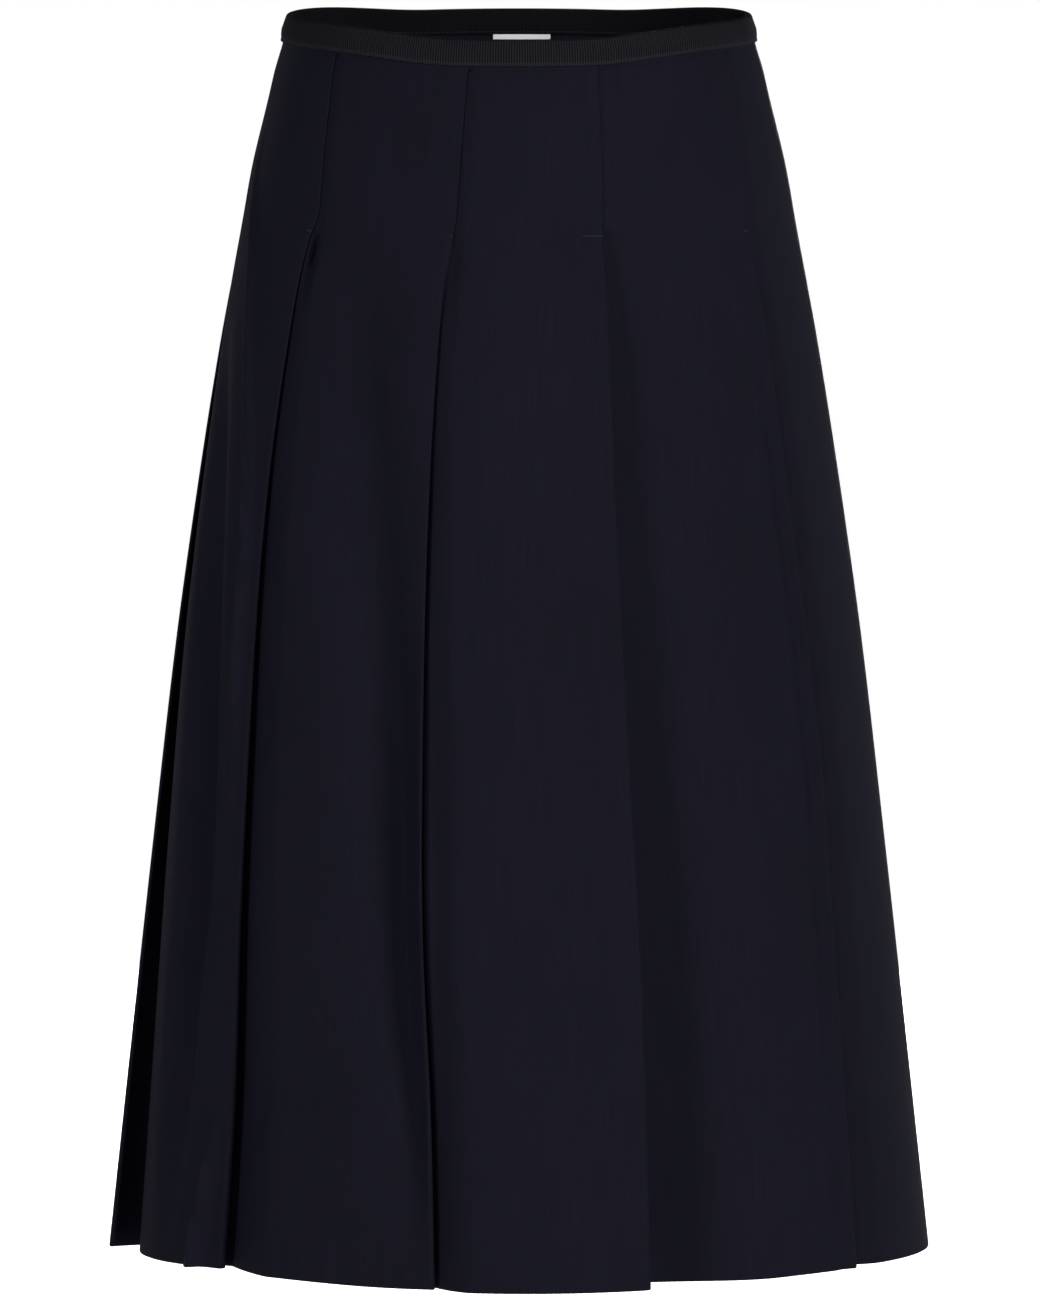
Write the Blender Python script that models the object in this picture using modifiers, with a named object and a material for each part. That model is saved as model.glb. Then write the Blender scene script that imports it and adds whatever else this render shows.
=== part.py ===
"""Pleated midi skirt: ten one-way knife pleats stitched down to the hip, a ribbon waistband and a side zip.

Metres, +Z up, the front faces -Y. The origin is the middle of the waist, about midway in height between
the waistband's lower edge at the front and at the back. The skirt is filled out as if worn, on a plain
oval figure.
Angles run round the waist in degrees from the middle of the front, positive towards +X.
"Inset" is how far a point lies inside the skirt's oval, and "across" is a length along that oval.
"""

import math
from collections import namedtuple

import bmesh
import bpy
from mathutils import Matrix, Vector

# ---------------------------------------------------------------- driving dimensions

CLOTH = 0.0012                  # thickness of the cloth wall
GAP = 0.0003                    # between pieces that are sewn together
SEAM_GAP = 0.0003               # between front and back where they meet inside a pleat
SLIT = 0.0011                   # between front and back along the zip

RIBBON = 0.0010                 # thickness of the waistband's ribbon
BAND_LOW = -0.0016              # the band's lower edge
BAND_WAIST = 0.0050             # where it starts to lean in at the sides
BAND_HEIGHT = 0.0150

LABEL_WIDTH = 0.034
LABEL_HEIGHT = 0.0145
LABEL_THICKNESS = 0.0010
LABEL_ANGLE = 179.3             # the middle of the back, a shade to the wearer's left

# The skirt's oval at each height: half its width and depth, how far its diagonals are flattened,
# how much the ring leans (height gained per metre towards the back), how far it rises at the sides,
# the length of cloth tucked under each pleat, and how far the pleats stand open (0 pressed flat, 1 as
# at the hem).
Level = namedtuple("Level", "z half_width half_depth flatten lean side_rise tuck open")
LEVELS = (
    #     z        half_width half_depth flatten  lean    rise     tuck     open
    Level(0.0112,  0.1331,    0.0980,    0.0000,  0.090,  0.0055,  0.0030,  0.000),
    Level(0.0050,  0.1355,    0.0984,    0.0000,  0.090,  0.0055,  0.0030,  0.000),
    Level(-0.0020, 0.1361,    0.0986,    0.0000,  0.090,  0.0055,  0.0030,  0.000),
    Level(-0.0120, 0.1390,    0.1016,    0.0000,  0.088,  0.0055,  0.0060,  0.000),
    Level(-0.0190, 0.1411,    0.1037,    0.0000,  0.084,  0.0053,  0.0080,  0.000),
    Level(-0.0350, 0.1450,    0.1074,    0.0000,  0.074,  0.0046,  0.0110,  0.000),
    Level(-0.0700, 0.1540,    0.1145,    0.0000,  0.045,  0.0025,  0.0180,  0.000),
    Level(-0.1000, 0.1597,    0.1197,    0.0007,  0.026,  0.0010,  0.0220,  0.000),
    Level(-0.1100, 0.1616,    0.1215,    0.0010,  0.020,  0.0006,  0.0230,  0.006),
    Level(-0.1700, 0.1729,    0.1312,    0.0030,  0.006,  0.0000,  0.0230,  0.050),
    Level(-0.2500, 0.1857,    0.1410,    0.0050,  0.000,  0.0000,  0.0215,  0.140),
    Level(-0.3400, 0.1986,    0.1495,    0.0070,  0.000,  0.0000,  0.0200,  0.260),
    Level(-0.4500, 0.2116,    0.1590,    0.0085,  0.000,  0.0000,  0.0175,  0.460),
    Level(-0.5600, 0.2240,    0.1680,    0.0100,  0.000,  0.0000,  0.0150,  0.700),
    Level(-0.7000, 0.2391,    0.1780,    0.0115,  0.000,  0.0000,  0.0130,  1.000),
)
SIDE_START = (0.25, 0.40)       # front and back: share of the half width where the side rise begins
SIDE_SPAN = 0.60                # and over what share it is reached

# Heights of the rows of faces that the cloth walls are lofted through.
ROWS = (0.0112, 0.0050, -0.0020, -0.0120, -0.0190, -0.0260, -0.0500, -0.0780, -0.0960, -0.1120, -0.1280,
        -0.1500, -0.1570, -0.1640, -0.1900, -0.2350, -0.2900, -0.3500, -0.4200, -0.4900, -0.5600, -0.6300,
        -0.7000)

# The pleats in turn from the wearer's right side, past the front, round the back. Each has the angle
# of its fold edge at the ANGLE_HEIGHTS; where it starts to fold; and in millimetres at the hem the
# inset of its fold edge, the inset of the valley under it and the width of its rolled edge. "late" is
# how late the valley opens on its way down (1 evenly from hip to hem), "rise" is the share of the next
# panel over which the cloth comes back out of the valley, "spread" is how late that share widens, and
# "belly" is how far the middle of that panel stands out, in millimetres at the hem.
ANGLE_HEIGHTS = (0.0, -0.035, -0.092, -0.110, -0.14, -0.25, -0.40, -0.50, -0.60, -0.70)
Pleat = namedtuple("Pleat", "angles top edge valley roll late rise spread belly")
PLEATS = (
    Pleat((-97.0, -96.4, -94.8, -94.0, -91.7, -88.6, -87.5, -87.2, -87.0, -87.0),
          top=-0.012, edge=0.0, valley=22.0, roll=3.0, late=1.00, rise=0.75, spread=0.45, belly=0.0),
    Pleat((-50.8, -49.0, -46.4, -48.3, -50.5, -53.3, -52.6, -51.9, -50.7, -50.9),
          top=-0.012, edge=8.0, valley=15.0, roll=3.0, late=0.75, rise=0.30, spread=0.25, belly=-2.0),
    Pleat((-12.5, -12.8, -13.2, -14.0, -15.3, -16.3, -15.9, -15.2, -13.7, -12.4),
          top=-0.012, edge=5.0, valley=13.0, roll=4.0, late=0.60, rise=0.24, spread=0.15, belly=2.0),
    Pleat((18.9, 18.3, 17.2, 16.9, 17.2, 16.9, 17.4, 18.1, 18.1, 17.8),
          top=-0.012, edge=2.0, valley=20.0, roll=6.0, late=0.55, rise=0.46, spread=0.15, belly=3.0),
    Pleat((60.0, 57.8, 54.7, 54.5, 56.1, 57.0, 58.4, 57.4, 56.3, 55.4),
          top=-0.012, edge=-5.0, valley=12.0, roll=3.0, late=0.35, rise=0.20, spread=0.20, belly=0.0),
    Pleat((102.5, 102.3, 102.0, 102.0, 102.0, 101.5, 101.0, 100.6, 100.0, 99.0),
          top=-0.150, edge=0.0, valley=13.0, roll=4.0, late=0.60, rise=0.30, spread=0.20, belly=1.0),
    Pleat((136.0, 135.4, 134.6, 134.4, 134.5, 135.0, 135.0, 134.6, 134.0, 133.0),
          top=-0.012, edge=6.0, valley=17.0, roll=5.0, late=0.50, rise=0.35, spread=0.20, belly=0.0),
    Pleat((167.5, 167.3, 167.0, 167.1, 167.5, 168.0, 167.5, 167.0, 166.5, 166.0),
          top=-0.012, edge=3.0, valley=14.0, roll=5.0, late=0.60, rise=0.30, spread=0.20, belly=2.0),
    Pleat((199.5, 199.4, 199.1, 198.8, 198.0, 197.0, 197.5, 198.0, 198.5, 199.0),
          top=-0.012, edge=4.0, valley=18.0, roll=6.0, late=0.50, rise=0.40, spread=0.20, belly=2.0),
    Pleat((233.0, 232.7, 232.1, 231.8, 231.0, 229.5, 229.0, 229.8, 231.0, 233.0),
          top=-0.012, edge=7.0, valley=17.0, roll=5.0, late=0.60, rise=0.30, spread=0.20, belly=0.0),
)
LEFT_SEAM = 0                   # the pleats that hide the two side seams
ZIP_SEAM = 5

PLY = 0.0018                    # from one layer of a pressed pleat to the next
PLY_AT_TOP = 0.0026             # and where the pleat starts to fold
PLY_FADE = 0.024                # height over which one becomes the other
SHORT_TUCK = 0.003              # the tuck where the pleat starts
TUCK_SLOPE = 0.45               # how fast it widens downwards from there
UNFOLD = 0.007                  # height in which a fold opens to a step, and a step to plain cloth
NARROW_RISE = 0.10              # least share of a panel over which it comes out of a valley
RISE_CURVE = 1.6                # how much steeper it comes out at first
PANEL_COLUMNS = (0.12, 0.28, 0.50, 0.75, 1.00)
STEP_WIDTH = 0.0006             # between the fold's points where it lies flat
TURN_WIDTH = math.sin(math.radians(60)) / 2     # a hairpin turn has corners at 60 and 120 degrees
TURN_DEPTHS = (0.25, 0.75)

# Soft hollows in the cloth: the height, the angle there and the depth in millimetres, then how far the
# hollow reaches before and after that angle, in millimetres.
Hollow = namedtuple("Hollow", "course before after")
HOLLOWS = (
    # drifts towards the second front pleat on its way down
    Hollow(((-0.10, -37.0, 0.0), (-0.14, -33.5, 3.0), (-0.18, -30.5, 6.0), (-0.25, -26.9, 8.0),
            (-0.33, -23.4, 9.5), (-0.40, -20.3, 11.0), (-0.47, -18.6, 12.0), (-0.543, -17.2, 11.0),
            (-0.59, -16.2, 7.0), (-0.64, -15.2, 3.0), (-0.69, -14.5, 0.0)), 34.0, 20.0),
    # down the middle of the panel at the wearer's right hip
    Hollow(((-0.15, -80.0, 0.0), (-0.25, -72.3, 6.0), (-0.36, -66.7, 9.0), (-0.477, -63.5, 9.0),
            (-0.534, -64.2, 8.0), (-0.59, -64.0, 5.0), (-0.65, -64.0, 0.0)), 13.0, 12.0),
)

# A fold opened to a step, as points across and inwards.
STEP_FOLD = (
    (0.0000, 0.0000), (0.0005, 0.0002), (0.0008, 0.0006), (0.0008, 0.0011), (0.0008, 0.0019),
    (0.0008, 0.0024), (0.0011, 0.0028), (0.0016, 0.0030), (0.0034, 0.0030),
)

ZIP_ACROSS = 0.0051             # from the zip's fold line to the slit
TAPE_HALF_WIDTH = 0.0100
TAPE_THICKNESS = 0.0010
COIL_FOOT = 0.0020
COIL_CREST = 0.0014
COIL_HEIGHT = 0.0012
TAPE_ROWS = (-0.0137, -0.0190, -0.0260, -0.0500, -0.0780, -0.0960, -0.1120, -0.1280, -0.1450)

SLIDER_HEIGHT = -0.0090         # where the slider's middle stands
SLIDER_LENGTH = 0.0080
SLIDER_FACE = (0.0040, 0.0008)  # width and thickness of its outer plate
SLIDER_BACK = (0.0056, 0.0010)  # and of its inner plate
SLIDER_NECK = 0.0005
BRIDGE_WIDTH = 0.0010
BRIDGE_WALL = 0.0009
BRIDGE_CLEAR = 0.0020           # height of the loop's opening
BRIDGE_LENGTH = 0.0060
BITE = 0.0001                   # overlap where two blocks are joined

PULL_THICKNESS = 0.0010
PULL_TOP_HALF = 0.0019          # half the width of the pull's eye
PULL_FOOT_RADIUS = 0.0027
PULL_LENGTH = 0.0220
PULL_BAR = 0.0010               # width of the eye's cross bar
EYE_HALF = 0.0009
EYE_LENGTH = 0.0040
PULL_LEAN = math.radians(4.0)   # the pull leans in until its foot is just off the cloth
ROUND_STEPS = 10

LABEL_COLUMNS = 6

# name: colour, roughness, metallic
FINISHES = {
    "navy_wool": ((0.0100, 0.0100, 0.0170), 0.75, 0.0),
    "black_grosgrain": ((0.0105, 0.0115, 0.0145), 0.55, 0.0),
    "white_satin": ((0.7200, 0.7000, 0.7400), 0.45, 0.0),
    "navy_zip_tape": ((0.0090, 0.0095, 0.0150), 0.70, 0.0),
    "dark_enamel": ((0.0140, 0.0150, 0.0200), 0.35, 0.8),
}


# ---------------------------------------------------------------- numbers along the height

def blend(low, high, share):
    return low + (high - low) * share


def ease(share):
    """0 to 1 with soft ends, held outside that range."""
    share = min(max(share, 0.0), 1.0)
    return share * share * (3.0 - 2.0 * share)


def along(heights, values, z):
    """A smooth curve through values at falling heights, read at height z."""
    if z >= heights[0]:
        return values[0]
    if z <= heights[-1]:
        return values[-1]
    low = next(k for k in range(len(heights) - 1) if z >= heights[k + 1])

    def slope(k):
        before, after = max(k - 1, 0), min(k + 1, len(heights) - 1)
        return (values[after] - values[before]) / (heights[after] - heights[before])

    span = heights[low + 1] - heights[low]
    t = (z - heights[low]) / span
    return (values[low] * (1 + 2 * t) * (1 - t) ** 2 + slope(low) * span * t * (1 - t) ** 2
            + values[low + 1] * t * t * (3 - 2 * t) + slope(low + 1) * span * t * t * (t - 1))


LEVEL_HEIGHTS = [level.z for level in LEVELS]
LEVEL_VALUES = {name: [getattr(level, name) for level in LEVELS] for name in Level._fields}


def level(name, z):
    return along(LEVEL_HEIGHTS, LEVEL_VALUES[name], z)


# ---------------------------------------------------------------- places on the skirt's oval

def oval_point(angle, inset, z):
    """The point at an angle in radians, an inset inside the oval at height z."""
    half_width, half_depth = level("half_width", z), level("half_depth", z)
    outward = Vector((half_depth * math.sin(angle), -half_width * math.cos(angle))).normalized()
    depth = inset + level("flatten", z) * math.sin(2 * angle) ** 2
    x = half_width * math.sin(angle) - depth * outward.x
    y = -half_depth * math.cos(angle) - depth * outward.y
    start = SIDE_START[math.cos(angle) < 0]
    side = ease((abs(math.sin(angle)) - start) / SIDE_SPAN)
    return Vector((x, y, z + level("lean", z) * y + level("side_rise", z) * side))


def turn_for(length, angle, z):
    """The angle that a length across takes up, near a given angle."""
    speed = math.hypot(level("half_width", z) * math.cos(angle), level("half_depth", z) * math.sin(angle))
    return length / speed


def hollow_depth(angle, z):
    """How far the soft hollows push the cloth in."""
    depth = 0.0
    for hollow in HOLLOWS:
        heights, angles, depths = zip(*hollow.course)
        away = (angle - math.radians(along(heights, angles, z)) + math.pi) % (2 * math.pi) - math.pi
        reach = (hollow.after if away > 0 else hollow.before) / 1000
        depth += along(heights, depths, z) / 1000 * math.exp(-(away / turn_for(reach, angle, z)) ** 2)
    return depth


def cloth_point(angle, inset, z):
    return oval_point(angle, inset + hollow_depth(angle, z), z)


def fold_angle(number, z):
    """Angle of a pleat's fold edge in radians; numbers past the last pleat go on round the skirt."""
    rounds, index = divmod(number, len(PLEATS))
    return math.radians(along(ANGLE_HEIGHTS, PLEATS[index].angles, z) + 360.0 * rounds)


# ---------------------------------------------------------------- a pleat's section

PleatSizes = namedtuple("PleatSizes", "tuck ply edge roll valley")


def pleat_sizes(number, z):
    """The pleat's tuck, ply, fold-edge inset, rolled edge and valley inset at height z, in metres."""
    pleat = PLEATS[number % len(PLEATS)]
    opened = max(level("open", z), 0.0)
    below_top = max(pleat.top - 2 * UNFOLD - z, 0.0)
    ply = blend(PLY_AT_TOP, PLY, min(below_top / PLY_FADE, 1.0))
    tuck = min(level("tuck", z), SHORT_TUCK + TUCK_SLOPE * below_top)
    edge = opened * pleat.edge / 1000
    roll = blend(ply, max(pleat.roll / 1000, ply), opened)
    valley = max(blend(2 * ply, pleat.valley / 1000, opened ** pleat.late), edge + roll + ply)
    return PleatSizes(tuck, ply, edge, roll, valley)


def fold_points(number, z):
    """The fold as points across and inwards: edge, turn, return layer, turn, hidden layer."""
    tuck, ply, edge, roll, valley = pleat_sizes(number, z)
    folded = [(0.0, edge)]
    folded += [(TURN_WIDTH * roll, edge + share * roll) for share in TURN_DEPTHS]
    folded += [(0.0, edge + roll), (-tuck, valley - ply)]
    folded += [(-tuck - TURN_WIDTH * ply, valley - ply + share * ply) for share in TURN_DEPTHS]
    folded += [(-tuck, valley), (0.0, valley)]
    flat = [(STEP_WIDTH * k, 0.0) for k in (0, 1, 2, 3, 4, 5, 6, 7, 10)]
    opened = (z - PLEATS[number % len(PLEATS)].top) / UNFOLD + 2.0
    if opened <= 1.0:
        first, second, share = folded, STEP_FOLD, max(opened, 0.0)
    else:
        first, second, share = STEP_FOLD, flat, min(opened - 1.0, 1.0)
    return [(blend(p[0], q[0], share), blend(p[1], q[1], share)) for p, q in zip(first, second)]


def place_fold(number, z, points):
    """Fold points as angle and inset."""
    angle = fold_angle(number, z)
    return [(angle + turn_for(across, angle, z), inset) for across, inset in points]


def panel_inset(number, angle, z):
    """Inset of the panel that ends at a pleat, at an angle on it."""
    before, after = fold_angle(number - 1, z), fold_angle(number, z)
    share = min(max((angle - before) / (after - before), 0.0), 1.0)
    previous = PLEATS[(number - 1) % len(PLEATS)]
    opened = max(level("open", z), 0.0)
    valley = fold_points(number - 1, z)[-1][1]
    rise = max(previous.rise * opened ** previous.spread, NARROW_RISE)
    come_out = 1.0 - (1.0 - min(share / rise, 1.0)) ** RISE_CURVE
    edge = pleat_sizes(number, z).edge * share
    belly = opened * previous.belly / 1000 * math.sin(math.pi * share)
    return blend(valley, edge, come_out) - belly * come_out


def panel_points(number, z):
    """The panel between two pleats as angle and inset, up to where its own tuck begins."""
    start = place_fold(number - 1, z, fold_points(number - 1, z))[-1][0]
    after = fold_angle(number, z)
    end = after - turn_for(pleat_sizes(number, z).tuck, after, z)
    angles = [blend(start, end, share) for share in PANEL_COLUMNS]
    return [(angle, panel_inset(number, angle, z)) for angle in angles]


def seam_points(number, z):
    """The two cut edges, before and after the side seam, in the middle of a fold's hidden layer."""
    root, front = [cloth_point(*point, z) for point in place_fold(number, z, fold_points(number, z))[-2:]]
    zipped = number % len(PLEATS) == ZIP_SEAM and z >= PLEATS[ZIP_SEAM].top
    half = (SLIT if zipped else SEAM_GAP) / 2 / (front - root).length
    return root.lerp(front, 0.5 - half), root.lerp(front, 0.5 + half)


def cloth_row(first, last, z):
    """One row of the cloth from the side seam in pleat first to the side seam in pleat last."""
    row = place_fold(first, z, fold_points(first, z))[-1:]
    for number in range(first + 1, last + 1):
        row += panel_points(number, z)
        row += place_fold(number, z, fold_points(number, z))
    points = [cloth_point(angle, inset, z) for angle, inset in row[:-1]]
    return [seam_points(first, z)[1], *points, seam_points(last, z)[0]]


# ---------------------------------------------------------------- objects

def add_mesh(name, vertices, faces, finish, collection):
    mesh = bpy.data.meshes.new(name)
    mesh.from_pydata([tuple(point) for point in vertices], [], faces)
    mesh.materials.append(finish)
    mesh.shade_smooth()
    item = bpy.data.objects.new(name, mesh)
    collection.objects.link(item)
    return item


def add_sheet(name, rows, thickness, finish, collection):
    """An open sheet lofted through rows of points, with a wall of the given thickness about it."""
    columns = len(rows[0])
    faces = [(r * columns + c, (r + 1) * columns + c, (r + 1) * columns + c + 1, r * columns + c + 1)
             for r in range(len(rows) - 1) for c in range(columns - 1)]
    item = add_mesh(name, [point for row in rows for point in row], faces, finish, collection)
    wall = item.modifiers.new("wall", "SOLIDIFY")
    wall.thickness = thickness
    wall.offset = 0.0
    item.data.set_sharp_from_angle(angle=math.radians(50))
    return item


def add_block(name, low, high, finish, collection):
    """A box between two corners."""
    mesh = bpy.data.meshes.new(name)
    shape = bmesh.new()
    bmesh.ops.create_cube(shape, size=1.0)
    size, middle = Vector(high) - Vector(low), (Vector(high) + Vector(low)) / 2
    bmesh.ops.transform(shape, matrix=Matrix.Translation(middle) @ Matrix.Diagonal(size.to_4d()),
                        verts=shape.verts)
    shape.to_mesh(mesh)
    shape.free()
    mesh.materials.append(finish)
    item = bpy.data.objects.new(name, mesh)
    collection.objects.link(item)
    return item


def make_finish(name):
    colour, roughness, metallic = FINISHES[name]
    finish = bpy.data.materials.new(name)
    finish.use_nodes = True
    shader = finish.node_tree.nodes["Principled BSDF"]
    shader.inputs["Base Color"].default_value = (*colour, 1.0)
    shader.inputs["Roughness"].default_value = roughness
    shader.inputs["Metallic"].default_value = metallic
    finish.diffuse_color = (*colour, 1.0)
    return finish


def add_collection(name):
    collection = bpy.data.collections.new(name)
    bpy.context.scene.collection.children.link(collection)
    return collection


# ---------------------------------------------------------------- the skirt's pieces

def zip_angle(z):
    """Angle of the slit that the zip closes."""
    line = fold_angle(ZIP_SEAM, z)
    return line + turn_for(ZIP_ACROSS, line, z)


def make_waistband(finish, collection):
    """Ribbon folded over the cloth's top edge, its two ends meeting at the zip."""
    stand_off = CLOTH / 2 + GAP + RIBBON / 2
    crown = BAND_LOW + BAND_HEIGHT - RIBBON / 2 - stand_off
    profile = [(stand_off, BAND_LOW), (stand_off, BAND_WAIST)]
    profile += [(stand_off * math.cos(math.radians(turn)), crown + stand_off * math.sin(math.radians(turn)))
                for turn in (0, 45, 90, 135, 180)]
    profile += [(-stand_off, BAND_WAIST), (-stand_off, BAND_LOW)]
    slit = turn_for(SLIT / 2, zip_angle(0.0), 0.0)
    angles = [zip_angle(0.0) + slit]
    for number in range(ZIP_SEAM + 1, ZIP_SEAM + 1 + len(PLEATS)):
        angles.append(place_fold(number - 1, 0.0, fold_points(number - 1, 0.0))[-1][0])
        angles += [angle for angle, inset in panel_points(number, 0.0)]
        angles.append(fold_angle(number, 0.0))
    angles.append(zip_angle(0.0) - slit + 2 * math.pi)
    rows = [[oval_point(angle, -out, z) for angle in angles] for out, z in reversed(profile)]
    return add_sheet("waistband", rows, RIBBON, finish, collection)


def make_label(finish, collection):
    """Blank strip that hangs inside from the band's lower edge, at the middle of the back."""
    stand_off = CLOTH / 2 + 2 * GAP + LABEL_THICKNESS / 2
    top = BAND_LOW - GAP
    heights = [top, blend(top, top - LABEL_HEIGHT, 0.7), top - LABEL_HEIGHT]
    number = next(k for k in range(len(PLEATS)) if math.degrees(fold_angle(k, 0.0)) > LABEL_ANGLE)
    rows = []
    for z in heights:
        half = turn_for(LABEL_WIDTH / 2, math.radians(LABEL_ANGLE), z)
        angles = [math.radians(LABEL_ANGLE) + blend(-half, half, k / LABEL_COLUMNS)
                  for k in range(LABEL_COLUMNS + 1)]
        rows.append([oval_point(angle, panel_inset(number, angle, z) + stand_off, z) for angle in angles])
    return add_sheet("label", rows, LABEL_THICKNESS, finish, collection)


def make_zip_tape(finish, collection):
    """Both tapes and the closed coil as one strip, inside along the slit."""
    near = CLOTH / 2 + GAP
    far = near + TAPE_THICKNESS
    section = ((-TAPE_HALF_WIDTH, near), (0.0, near), (TAPE_HALF_WIDTH, near), (TAPE_HALF_WIDTH, far),
               (COIL_FOOT, far), (COIL_CREST, far + COIL_HEIGHT), (-COIL_CREST, far + COIL_HEIGHT),
               (-COIL_FOOT, far), (-TAPE_HALF_WIDTH, far))
    rows = []
    for z in TAPE_ROWS:
        middle = zip_angle(z)
        rows.append([oval_point(middle + turn_for(across, middle, z), inset, z) for across, inset in section])
    count = len(section)
    faces = [(r * count + c, (r + 1) * count + c, (r + 1) * count + (c + 1) % count, r * count + (c + 1) % count)
             for r in range(len(rows) - 1) for c in range(count)]
    foot = (len(rows) - 1) * count
    faces += [tuple(range(count)), tuple(foot + c for c in reversed(range(count)))]
    return add_mesh("zip_tape", [point for row in rows for point in row], faces, finish, collection)


def slider_frame():
    """The slider's own axes on the cloth: x across to the front, y outwards, z up the slit."""
    above, below = -0.0020, -0.0120
    upper = oval_point(zip_angle(above), 0.0, above)
    lower = oval_point(zip_angle(below), 0.0, below)
    share = (above - SLIDER_HEIGHT) / (above - below)
    place = upper.lerp(lower, share)
    up = (upper - lower).normalized()
    angle = zip_angle(SLIDER_HEIGHT)
    nearer_front = angle - turn_for(SLIT, angle, SLIDER_HEIGHT)
    towards_front = oval_point(nearer_front, 0.0, SLIDER_HEIGHT) - oval_point(angle, 0.0, SLIDER_HEIGHT)
    outward = up.cross(towards_front).normalized()
    across = outward.cross(up)
    frame = Matrix((across, outward, up)).transposed().to_4x4()
    frame.translation = place
    return frame


def make_slider(finish, collection, tools, frame):
    """Two plates joined by a neck that passes through the slit, with a loop for the pull outside."""
    clear = CLOTH / 2 + GAP
    half = SLIDER_LENGTH / 2
    face_width, face = SLIDER_FACE
    back_width, back = SLIDER_BACK
    face_out = clear + face
    loop_in = face_out + BRIDGE_CLEAR
    loop_half = BRIDGE_LENGTH / 2
    blocks = {
        "slider_neck": ((-SLIDER_NECK / 2, -clear - BITE, -half), (SLIDER_NECK / 2, clear + BITE, half)),
        "slider_back": ((-back_width / 2, -clear - back, -half), (back_width / 2, -clear, half)),
        "loop_head": ((-BRIDGE_WIDTH / 2, face_out - BITE, loop_half - BRIDGE_WALL),
                      (BRIDGE_WIDTH / 2, loop_in + BITE, loop_half)),
        "loop_foot": ((-BRIDGE_WIDTH / 2, face_out - BITE, -loop_half),
                      (BRIDGE_WIDTH / 2, loop_in + BITE, -loop_half + BRIDGE_WALL)),
        "loop_bar": ((-BRIDGE_WIDTH / 2, loop_in, -loop_half), (BRIDGE_WIDTH / 2, loop_in + BRIDGE_WALL, loop_half)),
    }
    slider = add_block("zip_slider", (-face_width / 2, clear, -half), (face_width / 2, face_out, half),
                       finish, collection)
    slider.matrix_world = frame
    for name, (low, high) in blocks.items():
        block = add_block(name, low, high, finish, tools)
        block.matrix_world = frame
        block.hide_render = True
        block.display_type = "WIRE"
        join = slider.modifiers.new(name, "BOOLEAN")
        join.operation = "UNION"
        join.object = block
    return slider


def make_pull(finish, collection, frame):
    """Flat drop-shaped pull whose cross bar lies in the slider's loop; its own origin is on the bar."""
    outline = [(-PULL_TOP_HALF, PULL_BAR / 2), (PULL_TOP_HALF, PULL_BAR / 2)]
    foot = -PULL_LENGTH + PULL_BAR / 2 + PULL_FOOT_RADIUS
    outline += [(PULL_FOOT_RADIUS * math.cos(math.pi * k / ROUND_STEPS),
                 foot - PULL_FOOT_RADIUS * math.sin(math.pi * k / ROUND_STEPS)) for k in range(ROUND_STEPS + 1)]
    eye = [(-EYE_HALF, -PULL_BAR / 2), (EYE_HALF, -PULL_BAR / 2), (EYE_HALF, -EYE_LENGTH), (-EYE_HALF, -EYE_LENGTH)]
    curve = bpy.data.curves.new("zip_pull", "CURVE")
    curve.dimensions = "2D"
    curve.fill_mode = "BOTH"
    curve.extrude = PULL_THICKNESS / 2
    for loop in (outline, eye):
        spline = curve.splines.new("POLY")
        spline.points.add(len(loop) - 1)
        for point, (across, up) in zip(spline.points, loop):
            point.co = (across, up, 0.0, 1.0)
        spline.use_cyclic_u = True
    curve.materials.append(finish)
    pull = bpy.data.objects.new("zip_pull", curve)
    collection.objects.link(pull)

    hinge = bpy.data.objects.new("zip_hinge", None)
    hinge.empty_display_size = PULL_LENGTH / 4
    collection.objects.link(hinge)
    out = CLOTH / 2 + GAP + SLIDER_FACE[1] + BRIDGE_CLEAR / 2
    hinge.matrix_world = frame @ Matrix.Translation((0.0, out, 0.0)) @ Matrix.Rotation(-PULL_LEAN, 4, "X")
    pull.parent = hinge
    pull.rotation_euler = (math.pi / 2, 0.0, 0.0)
    return pull


def main():
    for item in list(bpy.data.objects):
        bpy.data.objects.remove(item)
    skirt = add_collection("pleated_midi_skirt")
    tools = add_collection("joining_blocks")
    finish = {name: make_finish(name) for name in FINISHES}

    for name, first, last in (("skirt_front", LEFT_SEAM, ZIP_SEAM),
                              ("skirt_back", ZIP_SEAM, LEFT_SEAM + len(PLEATS))):
        rows = [cloth_row(first, last, z) for z in ROWS]
        add_sheet(name, rows, CLOTH, finish["navy_wool"], skirt)
    make_waistband(finish["black_grosgrain"], skirt)
    make_label(finish["white_satin"], skirt)
    make_zip_tape(finish["navy_zip_tape"], skirt)
    frame = slider_frame()
    make_slider(finish["dark_enamel"], skirt, tools, frame)
    make_pull(finish["dark_enamel"], skirt, frame)


main()
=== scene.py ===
import math
from collections import namedtuple

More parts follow.
